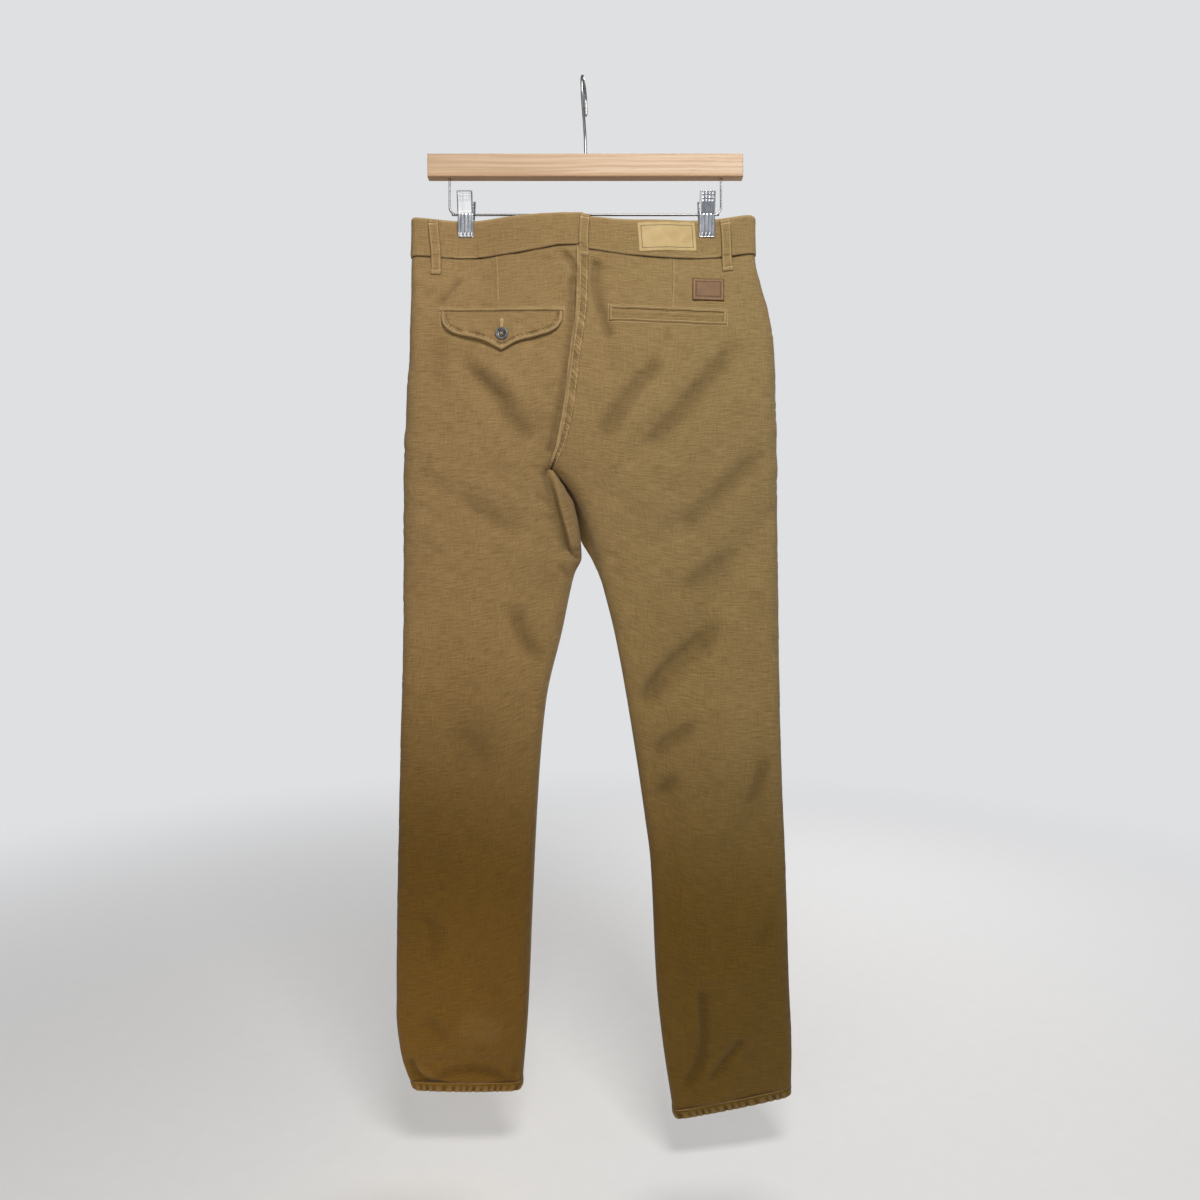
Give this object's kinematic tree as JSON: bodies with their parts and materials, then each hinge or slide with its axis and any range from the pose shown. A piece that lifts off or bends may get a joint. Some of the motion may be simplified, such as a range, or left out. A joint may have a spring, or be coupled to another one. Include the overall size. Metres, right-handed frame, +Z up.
{
  "type": "chino trousers on a clip hanger",
  "caption": "Slim straight cotton canvas chino trousers with a flap pocket and a welt pocket on the seat, hung by the waistband from a wooden clip hanger.",
  "frame": {"origin": "inside top of the hanger's hook, where a rail or peg carries it", "axes": "+Z up, -Y the seat side of the trousers and +Y the fly side, -X the wearer's left"},
  "size_m": [0.4749, 0.056, 1.2358],
  "materials": {
    "cotton_canvas": "brushed cotton canvas, matt",
    "beech_wood": "clear satin lacquer",
    "hanger_wire": "bright zinc-plated wire",
    "clip_steel": "bright chrome plate",
    "patch_leather": "smooth brown leather",
    "label_leather": "tan leather, plain",
    "button_shell": "polished dark grey, faintly pearled",
    "zip_tape": "woven tape"
  },
  "bodies": {
    "root": {"hanger_bar": "beech_wood", "hanger_hook": "hanger_wire", "hanger_rod": "hanger_wire", "clip_left_back_plate": "clip_steel", "clip_left_front_plate": "clip_steel", "clip_left_spring": "clip_steel", "clip_right_back_plate": "clip_steel", "clip_right_front_plate": "clip_steel", "clip_right_spring": "clip_steel", "back_left": "cotton_canvas", "back_right": "cotton_canvas", "front_left": "cotton_canvas", "front_right": "cotton_canvas", "waistband_left": "cotton_canvas", "waistband_right": "cotton_canvas", "hem_left": "cotton_canvas", "hem_right": "cotton_canvas", "front_pocket_left": "cotton_canvas", "front_pocket_right": "cotton_canvas", "seat_seam": "cotton_canvas", "fly_zip": "zip_tape", "fly_placket": "cotton_canvas", "back_pocket_mouth": "cotton_canvas", "back_pocket_flap": "cotton_canvas", "back_pocket_welt": "cotton_canvas", "back_pocket_button": "button_shell", "waist_button": "button_shell", "leather_patch": "patch_leather", "waistband_label": "label_leather", "loop_centre_back": "cotton_canvas", "loop_side_left": "cotton_canvas", "loop_side_right": "cotton_canvas", "loop_front_left": "cotton_canvas", "loop_front_right": "cotton_canvas"}
  },
  "joints": []
}
